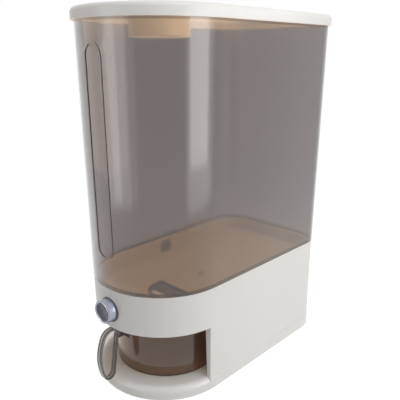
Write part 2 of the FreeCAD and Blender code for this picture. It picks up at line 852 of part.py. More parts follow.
def bay_outline(sketch, inner, outer, centre, front):
    """A U of even thickness, open towards -Y."""
    a = inner.value
    b = outer.value
    c = centre.value
    f = front.value
    sketch.addGeometry(
        [
            arc(Vector(0, c, 0), b, 0, 180),
            Part.LineSegment(Vector(-b, c, 0), Vector(-b, f, 0)),
            Part.LineSegment(Vector(-b, f, 0), Vector(-a, f, 0)),
            Part.LineSegment(Vector(-a, f, 0), Vector(-a, c, 0)),
            arc(Vector(0, c, 0), a, 0, 180),
            Part.LineSegment(Vector(a, c, 0), Vector(a, f, 0)),
            Part.LineSegment(Vector(a, f, 0), Vector(b, f, 0)),
            Part.LineSegment(Vector(b, f, 0), Vector(b, c, 0)),
        ]
    )
    ends = [(0, 2, 1, 1), (1, 2, 2, 1), (2, 2, 3, 1), (3, 2, 4, 2)]
    ends += [(4, 1, 5, 1), (5, 2, 6, 1), (6, 2, 7, 1), (7, 2, 0, 1)]
    for here, leave, after, arrive in ends:
        sketch.addConstraint(Sketcher.Constraint("Coincident", here, leave, after, arrive))
    for k in (1, 3, 5, 7):
        sketch.addConstraint(Sketcher.Constraint("Vertical", k))
    for k in (2, 6):
        sketch.addConstraint(Sketcher.Constraint("Horizontal", k))
    fix_point(sketch, "outer_centre", 0, 3, 0, centre)
    fix_point(sketch, "inner_centre", 4, 3, 0, centre)
    fix(sketch, "Radius", "outer", outer, 0)
    fix(sketch, "Radius", "inner", inner, 4)
    fix(sketch, "DistanceY", "outer_left", centre, -1, 1, 0, 2)
    fix(sketch, "DistanceY", "outer_right", centre, -1, 1, 0, 1)
    fix(sketch, "DistanceY", "inner_left", centre, -1, 1, 4, 2)
    fix(sketch, "DistanceY", "inner_right", centre, -1, 1, 4, 1)
    fix(sketch, "DistanceY", "front_left", front, -1, 1, 1, 2)
    fix(sketch, "DistanceY", "front_right", front, -1, 1, 5, 2)


# ---------------------------------------------------------------- measuring works

def throat_outline(sketch, grow=0):
    """The outlet: a short D, half-round in front."""
    grow = as_size(grow)
    half = size("throat_width") / 2
    d_outline(sketch, half + grow, THROAT_FRONT + half, THROAT_BACK + grow, size("throat_corner") + grow)


def crease_sketch(body, name, inset, drop=0):
    """The outline where the upright lining meets the floor, on a plane that rises backwards."""
    inset = as_size(inset)
    sketch = body_sketch(body, name, "XY_Plane")
    base_outline(sketch, CREASE_BACK, inset)
    front = FRONT + inset
    back = BACK - inset
    slope = (CREASE_BACK - CREASE_FRONT) / (back - front)
    angle = Size(math.degrees(math.atan(slope.value)), f"atan({slope.text})")
    start = CREASE_FRONT - slope * front - drop
    sketch.AttachmentOffset = Placement(Vector(0, 0, start.value), Rotation(Vector(1, 0, 0), angle.value))
    bind(sketch, "AttachmentOffset.Rotation.Angle", angle)
    bind(sketch, "AttachmentOffset.Base.z", start)
    return sketch


def funnel():
    """An upright lining, then a floor that falls to the outlet. A well clears the button."""
    body = new_body("funnel")
    inside = LINING_INSET + size("liner_wall")
    rim = base_section(body, "FunnelRim", FUNNEL_TOP, size("housing_wall") + size("fit_gap"))
    pad(body, "Rim", rim, size("rim_thickness"), reverse=True)
    neck_level = THROAT_TOP - size("floor_wall")
    head = base_section(body, "LiningHead", FUNNEL_TOP, LINING_INSET)
    crease = crease_sketch(body, "LiningCrease", LINING_INSET, size("floor_wall"))
    neck = body_sketch(body, "NeckSection", "XY_Plane", neck_level)
    throat_outline(neck, size("neck_wall"))
    loft(body, "LiningBlock", "Additive", [head, crease, neck])
    foot_sketch = body_sketch(body, "NeckFoot", "XY_Plane", NECK_BOTTOM)
    throat_outline(foot_sketch, size("neck_wall"))
    pad(body, "Neck", foot_sketch, neck_level - NECK_BOTTOM + OVERLAP)
    funnel_flange(body)
    dimple_bosses(body)
    head = base_section(body, "HollowHead", FUNNEL_TOP, inside)
    crease = crease_sketch(body, "HollowCrease", inside)
    throat = body_sketch(body, "ThroatSection", "XY_Plane", THROAT_TOP)
    throat_outline(throat)
    loft(body, "LiningHollow", "Subtractive", [head, crease, throat])
    shaft = body_sketch(body, "ThroatShaft", "XY_Plane", THROAT_TOP)
    throat_outline(shaft)
    pocket(body, "Throat", shaft, THROAT_TOP - NECK_TOP)
    slot_and_bevel(body)
    button_well(body)
    funnel_holes(body)
    dimple_hollows(body)
    return body


def funnel_flange(body):
    """The flat foot that the guide is screwed to, with a boss over each screw."""
    floor = size("neck_floor")
    plate = body_sketch(body, "Flange", "XY_Plane", NECK_BOTTOM)
    rectangle(plate, -GUIDE_HALF, GUIDE_HALF, GUIDE_FRONT, GUIDE_REAR)
    pad(body, "NeckFlange", plate, floor)
    radius = size("flange_boss_radius")
    bosses = round_sketch(body, "FlangeBosses", NECK_BOTTOM, valve_screw_places(), radius)
    pad(body, "FlangeBoss", bosses, floor + size("flange_boss_height"))
    seat = CREASE_FRONT - size("floor_boss_depth")
    post = round_sketch(body, "FloorBoss", seat, [(0, FLOOR_SCREW)], size("floor_boss_radius"))
    pad(body, "ScrewBoss", post, size("floor_boss_height"))


def dimple_bosses(body):
    """Round sockets in both side walls, closed on the outside."""
    face = HALF - LINING_INSET
    radius = size("dimple_radius") + size("dimple_wall")
    for side, name in ((1, "Right"), (-1, "Left")):
        ring = body_sketch(body, f"Socket{name}", "YZ_Plane", side * face)
        circle(ring, DIMPLE, DIMPLE_LEVEL, radius)
        deep = size("dimple_depth")
        pad(body, f"SocketBoss{name}", ring, deep, back=OVERLAP * 2, reverse=side < 0)


def dimple_hollows(body):
    """The sockets' own hollows, open towards the hopper's inside."""
    face = HALF - LINING_INSET - size("liner_wall")
    deep = size("liner_wall") + size("dimple_depth") - size("dimple_wall") + OVERLAP
    for side, name in ((1, "Right"), (-1, "Left")):
        ring = body_sketch(body, f"Dimple{name}", "YZ_Plane", side * (face - OVERLAP))
        circle(ring, DIMPLE, DIMPLE_LEVEL, size("dimple_radius"))
        pocket(body, f"DimpleHollow{name}", ring, deep, reverse=side > 0)


def slot_and_bevel(body):
    """The slot in the throat's floor, wider at its top."""
    half = size("slot_width") / 2
    reach = size("slot_length") / 2
    bevel = size("slot_bevel")
    slot = body_sketch(body, "Slot", "XY_Plane", NECK_TOP)
    rectangle(slot, -half, half, SLOT - reach, SLOT + reach)
    pocket(body, "OutletSlot", slot)
    low = body_sketch(body, "BevelLow", "XY_Plane", NECK_TOP - bevel)
    rectangle(low, -half, half, SLOT - reach, SLOT + reach)
    high = body_sketch(body, "BevelHigh", "XY_Plane", NECK_TOP)
    rectangle(high, -half - bevel, half + bevel, SLOT - reach - bevel, SLOT + reach + bevel)
    loft(body, "SlotBevel", "Subtractive", [low, high])


def button_well(body):
    """A covered well in the front of the funnel, which leaves room for the button and its spring."""
    wall = size("well_wall")
    half = size("well_half_width")
    front = FRONT - size("well_forward")
    start = FRONT + size("well_cover")
    bend = FRONT + size("well_break")
    rear = FRONT + size("well_length")
    top = BUTTON + COLLAR_RADIUS + size("fit_gap")
    low = BUTTON + size("well_rear_rise")
    under = BUTTON - size("well_cover_drop")
    cover = body_sketch(body, "WellCover", "YZ_Plane")
    roof = [(bend, top + wall), (start, top + wall)]
    polygon(cover, [(start, under), (rear + wall, under), (rear + wall, low + wall)] + roof)
    shell = pad(body, "WellShell", cover, (half + wall) * 2)
    shell.SideType = "Symmetric"
    room = body_sketch(body, "WellRoom", "YZ_Plane")
    bottom = NECK_TOP - size("neck_floor") - OVERLAP * 2
    polygon(room, [(front, bottom), (rear, bottom), (rear, low), (bend, top), (front, top)])
    cut = pocket(body, "WellHollow", room, half * 2)
    cut.SideType = "Symmetric"


def funnel_holes(body):
    pilots = round_sketch(body, "FlangePilots", NECK_BOTTOM, valve_screw_places(), HOLE)
    deep = size("neck_floor") + size("flange_boss_height") - size("dimple_wall")
    pocket(body, "FlangePilotHoles", pilots, deep, reverse=True)
    where = [(0, FLOOR_SCREW)]
    seat = floor_screw_seat()
    level = round_sketch(body, "ScrewSeat", seat, where, size("screw_head_radius") + size("jamb_gap"))
    pocket(body, "SeatFace", level, size("floor_boss_depth"), reverse=True)
    through = round_sketch(body, "FloorPilot", seat, where, HOLE)
    pocket(body, "FloorPilotHole", through)


def floor_screw_seat():
    """The flat face under the head of the floor's screw."""
    return CREASE_FRONT - size("floor_seat_depth")


def funnel_screw():
    length = size("floor_screw_length")
    return screw("funnel_screw", 0, FLOOR_SCREW, floor_screw_seat(), length, flip=True)


def gate_guide():
    """The frame that the shutter slides in, with an upright plate for the spring."""
    body = new_body("gate_guide")
    plate = size("guide_plate")
    inner = size("shutter_width") / 2 + size("shutter_gap")
    top = GUIDE_BOTTOM + plate
    base = body_sketch(body, "Plate", "XY_Plane", GUIDE_BOTTOM)
    rectangle(base, -GUIDE_HALF, GUIDE_HALF, GUIDE_FRONT, GUIDE_REAR)
    pad(body, "GuidePlate", base, plate)
    rails = body_sketch(body, "Rails", "XY_Plane", top - OVERLAP)
    rectangle(rails, -GUIDE_HALF, -inner, GUIDE_FRONT, GUIDE_REAR)
    rectangle(rails, inner, GUIDE_HALF, GUIDE_FRONT, GUIDE_REAR)
    pad(body, "GuideRails", rails, NECK_BOTTOM - top + OVERLAP)
    strip = body_sketch(body, "Strip", "XY_Plane", GUIDE_BOTTOM)
    half = size("anchor_half_width")
    reach = size("anchor_foot")
    rectangle(strip, -half, half, ANCHOR - reach, GUIDE_FRONT + reach)
    pad(body, "GuideStrip", strip, plate)
    spring_anchor(body)
    reach = size("slot_length") / 2 + OVERLAP * 2
    side = size("slot_width") / 2 + OVERLAP * 2
    slot = body_sketch(body, "GuideSlot", "XY_Plane", top)
    rectangle(slot, -side, side, SLOT - reach, SLOT + reach)
    pocket(body, "GuideOpening", slot)
    holes = round_sketch(body, "GuideHoles", NECK_BOTTOM, valve_screw_places(), HOLE)
    pocket(body, "GuideScrewHoles", holes)
    sink = size("screw_head_radius") + size("jamb_gap")
    sinks = round_sketch(body, "GuideSinks", GUIDE_BOTTOM, valve_screw_places(), sink)
    pocket(body, "GuideHeadSinks", sinks, size("screw_head_height"), reverse=True)
    return body


def spring_anchor(body):
    """An upright plate. The shutter's tongue passes under it and the spring pushes on it."""
    half = size("anchor_half_width")
    bottom = GUIDE_BOTTOM + size("guide_plate")
    upright = body_sketch(body, "Upright", "XZ_Plane", -ANCHOR)
    rectangle(upright, -half, half, bottom - OVERLAP, BUTTON + size("anchor_rise"))
    pad(body, "Anchor", upright, size("anchor_plate"), reverse=True)
    arch = body_sketch(body, "Arch", "XZ_Plane", -ANCHOR)
    side = size("tongue_width") / 2 + size("shutter_gap")
    rectangle(arch, -side, side, bottom, NECK_BOTTOM)
    pocket(body, "AnchorArch", arch, size("anchor_plate") * 2)
    peg = body_sketch(body, "AnchorPeg", "XZ_Plane", -ANCHOR)
    circle(peg, 0, BUTTON, size("peg_radius"))
    pad(body, "AnchorPegPad", peg, size("anchor_foot"), back=OVERLAP)


def gate_guide_screws():
    seat = GUIDE_BOTTOM + size("screw_head_height")
    length = size("valve_screw_length")
    rows = enumerate(valve_screw_places())
    return group("gate_guide_screws", [screw(f"guide_screw_{k}", x, y, seat, length) for k, (x, y) in rows])


def shutter_gate():
    """A plate with a window, a tongue that runs forward, and a lug that the button pushes."""
    body = new_body("shutter_gate")
    half = size("shutter_width") / 2
    thick = size("shutter_thickness")
    reach = size("slot_length") / 2
    margin = size("shutter_margin")
    travel = size("press_travel")
    plate = body_sketch(body, "ShutterPlate", "XY_Plane", SHUTTER_BOTTOM)
    front = SLOT - reach - travel - margin
    rectangle(plate, -half, half, front, SLOT + reach + margin)
    pad(body, "Shutter", plate, thick)
    tongue = body_sketch(body, "Tongue", "XY_Plane", SHUTTER_BOTTOM)
    side = size("tongue_width") / 2
    rectangle(tongue, -side, side, LUG, front + OVERLAP)
    pad(body, "ShutterTongue", tongue, thick)
    lug = body_sketch(body, "Lug", "XY_Plane", SHUTTER_BOTTOM)
    wide = size("lug_width") / 2
    rectangle(lug, -wide, wide, LUG, LUG + size("lug_thickness"))
    pad(body, "ShutterLug", lug, BUTTON - size("lug_drop") - SHUTTER_BOTTOM)
    window = body_sketch(body, "ShutterWindow", "XY_Plane", SHUTTER_BOTTOM + thick)
    wide = size("slot_width") / 2
    rectangle(window, -wide, wide, SLOT - reach - travel, SLOT + reach - travel)
    pocket(body, "ShutterOpening", window, thick * 2)
    return body


def button_cap():
    """A hollow cap with a dished face. The lug sits in a notch under its skirt."""
    body = new_body("button_cap")
    radius = size("button_radius")
    inner = radius - size("button_wall")
    skirt = size("button_skirt")
    dish = size("button_dish")
    edge = size("button_edge")
    rim = radius - size("button_rim")
    deep = dish + size("button_face")
    profile = body_sketch(body, "CapProfile", "XZ_Plane")
    peg = size("peg_radius")
    long = deep + size("peg_length")
    corners = [(0, -dish), (rim - dish, -dish), (rim, -dish / 4), (rim + edge / 2, 0)]
    corners += [(radius - edge, 0), (radius, -edge), (radius, -skirt), (inner, -skirt)]
    corners += [(inner, -deep), (peg, -deep), (peg, -long), (0, -long)]
    polygon(profile, corners)
    turn(body, "CapTurn", profile)
    notch = body_sketch(body, "Notch", "XZ_Plane")
    gap = size("lug_gap")
    wide = size("lug_width") / 2 + gap
    start = LUG - BUTTON_FACE - gap
    end = start + size("lug_thickness") + gap * 2
    rectangle(notch, -wide, wide, -end, -start)
    pocket(body, "LugNotch", notch, radius * 1.1, reverse=True)
    body.Placement = Placement(Vector(), Rotation(Vector(1, 0, 0), 90))
    place(body, 0, BUTTON_FACE, BUTTON)
    return body


def button_bezel():
    """A dark ring with a sleeve behind it, slotted underneath for the lug."""
    body = new_body("button_bezel")
    radius = size("bezel_radius")
    sleeve = radius - size("bezel_wall")
    inner = size("button_radius") + size("pilot_clearance")
    thick = size("bezel_thickness")
    edge = size("button_edge") / 2
    profile = body_sketch(body, "BezelProfile", "XZ_Plane")
    long = size("bezel_length")
    corners = [(inner, 0), (radius - edge, 0), (radius, -edge), (radius, -thick), (sleeve, -thick)]
    corners += [(sleeve, -long), (inner, -long)]
    polygon(profile, corners)
    turn(body, "BezelTurn", profile)
    slot = body_sketch(body, "BezelSlot", "XZ_Plane")
    gap = size("fit_gap")
    wide = size("lug_width") / 2 + gap * 2
    front = bezel_seat() - thick
    rectangle(slot, -wide, wide, -long - gap, front - LUG + gap)
    pocket(body, "LugSlot", slot, radius * 1.1, reverse=True)
    body.Placement = Placement(Vector(), Rotation(Vector(1, 0, 0), 90))
    place(body, 0, front, BUTTON)
    return body


def button_spring():
    """A compression spring between the cap and the anchor plate."""
    body = new_body("button_spring")
    wire = size("spring_wire")
    radius = size("spring_radius")
    gap = size("spigot_gap")
    front = BUTTON_FACE + size("button_dish") + size("button_face")
    long = ANCHOR - front - wire * 2 - gap * 2
    section = body_sketch(body, "Wire", "XZ_Plane")
    circle(section, radius, 0, wire)
    coil = body.newObject("PartDesign::AdditiveHelix", "Coil")
    coil.Profile = section
    coil.ReferenceAxis = (section, ["V_Axis"])
    coil.Mode = "pitch-height-angle"
    bind(coil, "Pitch", long / size("spring_turns"))
    bind(coil, "Height", long)
    body.Placement = Placement(Vector(), Rotation(Vector(1, 0, 0), -90))
    place(body, 0, front + wire + gap, BUTTON)
    return body


# ---------------------------------------------------------------- cup

def measuring_cup():
    """A turned cup with a step low on its wall, a beaded rim, and a handle with a thin web."""
    body = new_body("measuring_cup")
    profile = body_sketch(body, "CupProfile", "XZ_Plane")
    low = FLOOR + size("cup_gap")
    high = BAND - size("cup_headroom")
    wall = size("cup_wall")
    step = size("cup_step")
    level = FLOOR + size("cup_step_height")
    rim = size("cup_rim_radius")
    foot = rim - size("cup_taper")
    edge = size("cup_edge")
    waist = foot - step + size("cup_taper") * (level - low) / (high - low)
    bead = size("cup_bead")
    under = high - size("cup_bead_height")
    half = step / 2
    corners = [(0, low), (foot - step - edge, low), (foot - step, low + edge), (waist, level - half)]
    corners += [(waist + step, level + half), (rim, under), (rim + bead, under + bead)]
    corners += [(rim + bead, high - half), (rim + bead - half, high), (rim - wall, high)]
    corners += [(waist + step - wall, level + half), (waist - wall, level - half)]
    corners += [(foot - step - wall, low + size("cup_floor")), (0, low + size("cup_floor"))]
    polygon(profile, corners)
    turn(body, "CupTurn", profile)
    cup_handle(body, rim - wall / 2, high)
    place(body, 0, CUP, 0)
    return body


def cup_handle(body, wall_middle, high):
    """A flat band round a thin web, and the bridge that joins it to the rim."""
    width = size("handle_width")
    band = body_sketch(body, "HandleOutline", "YZ_Plane")
    handle_outline(band, 0, high)
    solid = pad(body, "HandleBlock", band, width)
    solid.SideType = "Symmetric"
    bridge = body_sketch(body, "Bridge", "YZ_Plane")
    near = -wall_middle
    far = handle_back() - OVERLAP * 2
    under = high - size("bridge_height")
    drop = size("bridge_gusset")
    corners = [(far, under), (near - drop, under), (near, under - drop)]
    corners += [(near, high - OVERLAP), (far, high - OVERLAP)]
    polygon(bridge, corners)
    arm = pad(body, "HandleBridge", bridge, width)
    arm.SideType = "Symmetric"
    web = size("handle_web") / 2
    for side, name in ((1, "Right"), (-1, "Left")):
        hollow = body_sketch(body, f"Hollow{name}", "YZ_Plane", side * web)
        handle_outline(hollow, size("handle_band"), high)
        pocket(body, f"HandleHollow{name}", hollow, width, reverse=side > 0)


def handle_front():
    """The handle's foremost point, measured from the cup's axis."""
    return FRONT - size("handle_standout") - CUP


def handle_back():
    return handle_front() + size("handle_depth")


def handle_outline(sketch, inset, high):
    """A belly in front, a small toe, a straight back and a flat top, all tangent."""
    inset = as_size(inset)
    nose = size("handle_nose_radius")
    toe = size("handle_toe_radius")
    heel = size("handle_heel_radius")
    belly = size("handle_belly_radius")
    belly_level = FLOOR + size("handle_belly_height")
    bottom = FLOOR + size("handle_clearance")
    bx = (belly + handle_front()).value
    bz = belly_level.value
    top = (high - inset).value
    t = inset.value
    nz = (high - nose).value
    nx = bx - math.sqrt((belly.value - nose.value) ** 2 - (nz - bz) ** 2)
    tz = (bottom + toe).value
    tx = bx - math.sqrt((belly.value - toe.value) ** 2 - (tz - bz) ** 2)
    heel_y = handle_back() - heel
    hx = heel_y.value
    hz = (high - heel).value
    meet_nose = math.degrees(math.atan2(nz - bz, nx - bx))
    meet_toe = math.degrees(math.atan2(tz - bz, tx - bx)) % 360
    tilt = math.degrees(math.atan2(hz - tz, hx - tx)) - 90
    side = tilt + math.degrees(math.asin((toe.value - heel.value) / math.hypot(hx - tx, hz - tz)))
    toe_arc = arc(Vector(tx, tz, 0), toe.value - t, meet_toe, 360 + side)
    heel_arc = arc(Vector(hx, hz, 0), heel.value - t, side, 90)
    nose_arc = arc(Vector(nx, nz, 0), nose.value - t, 90, meet_nose)
    sketch.addGeometry(
        [
            arc(Vector(bx, bz, 0), belly.value - t, meet_nose, meet_toe),
            toe_arc,
            Part.LineSegment(toe_arc.EndPoint, heel_arc.StartPoint),
            heel_arc,
            Part.LineSegment(Vector(hx, top, 0), Vector(nx, top, 0)),
            nose_arc,
        ]
    )
    join_smoothly(sketch, 0, 6)
    sketch.addConstraint(Sketcher.Constraint("Horizontal", 4))
    fix(sketch, "Radius", "belly", belly - inset, 0)
    fix(sketch, "Radius", "toe", toe - inset, 1)
    fix(sketch, "Radius", "heel", heel - inset, 3)
    fix(sketch, "Radius", "nose", nose - inset, 5)
    fix_point(sketch, "belly_centre", 0, 3, belly + handle_front(), belly_level)
    fix(sketch, "DistanceY", "toe_level", bottom + toe, -1, 1, 1, 3)
    fix(sketch, "DistanceX", "heel_position", heel_y, -1, 1, 3, 3)
    fix(sketch, "DistanceY", "top_level", high - inset, -1, 1, 4, 1)


# ---------------------------------------------------------------- hopper

def free_outline(name, level, inset, outline):
    sketch = free_sketch(name, "XY_Plane", level)
    outline(sketch, level, inset)
    return sketch


def part_loft(name, sections):
    solid = doc.addObject("Part::Loft", name)
    solid.Sections = sections
    solid.Solid = True
    solid.Ruled = True
    return solid


def part_extrusion(name, sketch, direction, length):
    solid = doc.addObject("Part::Extrusion", name)
    solid.Base = sketch
    solid.DirMode = "Custom"
    solid.Dir = direction
    solid.Solid = True
    bind(solid, "LengthFwd", length)
    return solid


def joined(kind, name, shapes):
    """Several solids fused, or what they have in common. kind is MultiFuse or MultiCommon."""
    solid = doc.addObject(f"Part::{kind}", name)
    solid.Shapes = shapes
    return solid


def hopper_loft(name, start, inset):
    low = free_outline(name + "Low", start, inset, hopper_outline)
    high = free_outline(name + "High", RIM, inset, hopper_outline)
    return part_loft(name, [low, high])


def level_frame():
    """The raised stadium on the bow: a ring shape cut out of a slightly larger hopper."""
    ring = free_sketch("FrameRing", "XZ_Plane", BOW - HALF / 2)
    band = size("frame_band") / 2
    half = size("frame_half_width")
    low = SEAM + size("frame_above_seam")
    high = RIM - size("frame_below_rim")
    stadium(ring, half + band, low - band, high + band)
    stadium(ring, half - band, low + band, high - band)
    column = part_extrusion("FrameColumn", ring, Vector(0, -1, 0), HALF)
    skin = hopper_loft("FrameSkin", SEAM, -size("frame_height"))
    return joined("MultiCommon", "Frame", [skin, column])


def hopper():
    """A clear shell that widens upwards. Its tongue drops inside the housing, onto the seal."""
    tongue_bottom = FUNNEL_TOP + size("seam_seal") + size("soft_gap")
    step = SEAM + size("step_height")
    tongue_sketch = free_outline("TongueOutline", tongue_bottom, TONGUE_INSET, base_outline)
    tongue = part_extrusion("TongueBlock", tongue_sketch, Vector(0, 0, 1), step - tongue_bottom)
    outer = hopper_loft("HopperSkin", SEAM, 0)
    block = joined("MultiFuse", "HopperBlock", [outer, level_frame(), tongue])
    hollow = hopper_loft("HopperRoom", step, size("hopper_wall"))
    inset = TONGUE_INSET + size("tongue_wall")
    mouth_sketch = free_outline("MouthOutline", tongue_bottom, inset, base_outline)
    height = step + OVERLAP - tongue_bottom
    mouth = part_extrusion("Mouth", mouth_sketch, Vector(0, 0, 1), height)
    room = joined("MultiFuse", "HopperVoid", [hollow, mouth])
    shell = doc.addObject("Part::Cut", "hopper")
    shell.Label = "hopper"
    shell.Base = block
    shell.Tool = room
    return shell


def hopper_seal():
    """A soft ring under the hopper's tongue."""
    body = new_body("hopper_seal")
    ring = base_section(body, "SeamSeal", FUNNEL_TOP, TONGUE_INSET + size("soft_gap"))
    base_outline(ring, FUNNEL_TOP, TONGUE_INSET + size("tongue_wall"))
    pad(body, "SeamSealRing", ring, size("seam_seal"))
    return body


# ---------------------------------------------------------------- lid

def lid_outline(sketch, grow):
    """The hopper's top outline, moved outwards all round."""
    grow = as_size(grow)
    d_outline(sketch, HOPPER_HALF + grow, BOW, HOPPER_BACK + grow, HOPPER_CORNER + grow)


def lid_ring(body, name, level, outer, inner):
    sketch = body_sketch(body, name, "XY_Plane", level)
    lid_outline(sketch, outer)
    lid_outline(sketch, inner)
    return sketch


def lid():
    """A cap over the hopper, with a plug inside it and a spigot for the moisture box."""
    body = new_body("lid")
    bottom = TOP - size("lid_height")
    block = body_sketch(body, "LidOutline", "XY_Plane", bottom)
    lid_outline(block, size("lid_gap") + size("lid_wall"))
    solid = pad(body, "LidBlock", block, TOP - bottom)
    doc.recompute()
    edge = body.newObject("PartDesign::Fillet", "LidEdge")
    edge.Base = (solid, edges_at(solid, TOP.value))
    bind(edge, "Radius", size("lid_edge_round"))
    room = body_sketch(body, "LidRoom", "XY_Plane", bottom)
    lid_outline(room, size("lid_gap"))
    pocket(body, "LidHollow", room, LID_UNDERSIDE - bottom, reverse=True)
    face = -size("hopper_wall") - size("plug_gap")
    plug = lid_ring(body, "Plug", LID_UNDERSIDE - size("plug_height"), face, face - size("plug_wall"))
    pad(body, "LidPlug", plug, size("plug_height") + OVERLAP)
    spigot = body_sketch(body, "Spigot", "XY_Plane", LID_UNDERSIDE - size("spigot_height"))
    radius = size("moisture_radius") - size("moisture_wall") - size("spigot_gap")
    circle(spigot, 0, MOISTURE, radius)
    circle(spigot, 0, MOISTURE, radius - size("spigot_wall"))
    pad(body, "LidSpigot", spigot, size("spigot_height") + OVERLAP)
    return body


def lid_seal():
    """A flat ring above the hopper's edge."""
    body = new_body("lid_seal")
    gap = size("soft_gap")
    inner = gap - size("hopper_wall") - size("plug_gap")
    level = LID_UNDERSIDE - size("seal_thickness")
    ring = lid_ring(body, "LidSealRing", level, size("lid_gap") - gap, inner)
    pad(body, "LidSealPad", ring, size("seal_thickness"))
    return body


def moisture_box():
    """The drum that hangs from the lid's spigot."""
    body = new_body("moisture_box")
    profile = body_sketch(body, "DrumProfile", "XZ_Plane")
    radius = size("moisture_radius")
    low = LID_UNDERSIDE - size("moisture_height") + size("cover_thickness")
    rectangle(profile, radius - size("moisture_wall"), radius, low, LID_UNDERSIDE)
    turn(body, "Drum", profile)
    place(body, 0, MOISTURE, 0)
    return body


def moisture_cover():
    """The slotted cap that closes the drum from below."""
    body = new_body("moisture_cover")
    radius = size("moisture_radius")
    inner = radius - size("moisture_wall") - size("spigot_gap")
    low = LID_UNDERSIDE - size("moisture_height")
    high = low + size("cover_thickness")
    lip = inner - size("spigot_wall")
    edge = size("cover_edge")
    profile = body_sketch(body, "CoverProfile", "XZ_Plane")
    corners = [(0, low), (radius - edge, low), (radius, low + edge), (radius, high), (inner, high)]
    corners += [(inner, high + size("cover_lip")), (lip, high + size("cover_lip")), (lip, high), (0, high)]
    polygon(profile, corners)
    turn(body, "CoverTurn", profile)
    vents = body_sketch(body, "Vents", "XY_Plane", high)
    reach = size("vent_radius")
    wide = size("vent_width") / 2
    for k in range(-2, 3):
        x = size("vent_pitch") * k
        end = root(reach * reach - x * x)
        rectangle(vents, x - wide, x + wide, -end, end)
    pocket(body, "VentSlots", vents, size("cover_thickness") * 2)
    place(body, 0, MOISTURE, 0)
    return body


def moisture_sachet():
    """A flat round pouch that rests on the cover."""
    body = new_body("moisture_sachet")
    low = LID_UNDERSIDE - size("moisture_height") + size("cover_thickness")
    high = low + size("sachet_height")
    radius = size("sachet_radius")
    flat = radius - size("sachet_shoulder")
    hem = radius - size("sachet_shoulder") / 3
    middle = (low + high) / 2
    half = size("screw_point") / 2
    profile = body_sketch(body, "PouchProfile", "XZ_Plane")
    corners = [(0, low), (flat, low), (hem, middle - half), (radius, middle - half)]
    corners += [(radius, middle + half), (hem, middle + half), (flat, high), (0, high)]
    polygon(profile, corners)
    turn(body, "Pouch", profile)
    place(body, 0, MOISTURE, 0)
    return body


# ---------------------------------------------------------------- build and export

MAKERS = [
    base_plate,
    feet,
    base_screws,
    base_housing,
    cup_bay,
    funnel,
    funnel_screw,
    gate_guide,
    gate_guide_screws,
    shutter_gate,
    button_cap,
    button_bezel,
    button_spring,
    measuring_cup,
    hopper,
    hopper_seal,
    lid,
    lid_seal,
    moisture_box,
    moisture_cover,
    moisture_sachet,
]

pieces = [make() for make in MAKERS]
doc.recompute()

for thing in doc.Objects:
    if "Invalid" in thing.State or "Error" in thing.State:
        raise RuntimeError(f"{thing.Name} did not build: {thing.State}")
for piece in pieces:
    if piece.Shape.isNull() or not piece.Shape.isValid():
        raise RuntimeError(f"{piece.Label} has no sound shape")
    box = piece.Shape.BoundBox
    count = len(piece.Shape.Solids)
    print(f"{piece.Label:20s} {count} {piece.Shape.Volume:11.1f}", end=" ")
    print(f"x {box.XMin:7.2f} {box.XMax:7.2f} y {box.YMin:7.2f} {box.YMax:7.2f} z {box.ZMin:7.2f} {box.ZMax:7.2f}")
    piece.Shape.exportStep(f"parts/{piece.Label}.step")
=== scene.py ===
import math

import bmesh
import bpy
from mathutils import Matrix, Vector


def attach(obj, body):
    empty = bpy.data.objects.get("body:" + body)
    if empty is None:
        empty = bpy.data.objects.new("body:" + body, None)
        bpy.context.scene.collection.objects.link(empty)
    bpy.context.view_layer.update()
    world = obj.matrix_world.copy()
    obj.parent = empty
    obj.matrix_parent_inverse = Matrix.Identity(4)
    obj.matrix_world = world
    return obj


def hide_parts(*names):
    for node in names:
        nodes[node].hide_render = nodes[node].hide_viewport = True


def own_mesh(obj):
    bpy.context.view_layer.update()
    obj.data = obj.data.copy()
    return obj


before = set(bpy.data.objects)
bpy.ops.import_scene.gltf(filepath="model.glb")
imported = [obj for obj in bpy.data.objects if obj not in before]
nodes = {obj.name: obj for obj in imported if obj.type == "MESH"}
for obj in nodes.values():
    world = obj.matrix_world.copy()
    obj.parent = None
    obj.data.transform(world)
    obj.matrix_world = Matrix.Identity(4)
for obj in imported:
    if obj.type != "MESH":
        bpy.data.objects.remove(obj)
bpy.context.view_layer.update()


# ---- Base: plinth, housing and lining of the niche ----
# White plastic mouldings with a smooth, softly glossy face. The housing stands on the
# plinth, the lining stands behind the cup, and screws hold them together from below.

WHITE = (0.735, 0.722, 0.703, 1)
WHITE_SHADE = (0.70, 0.686, 0.662, 1)
WHITE_ROUGH = 0.30
PLINTH_EDGE = 0.0004
HOUSING_EDGE = 0.0003
RIPPLE_HEIGHT = 0.0003
GLOSS_SCALE = 900
SAME_POINT = 1e-6
SAME_PLANE = math.radians(0.4)


def link(tree, source, target):
    tree.links.new(source, target)


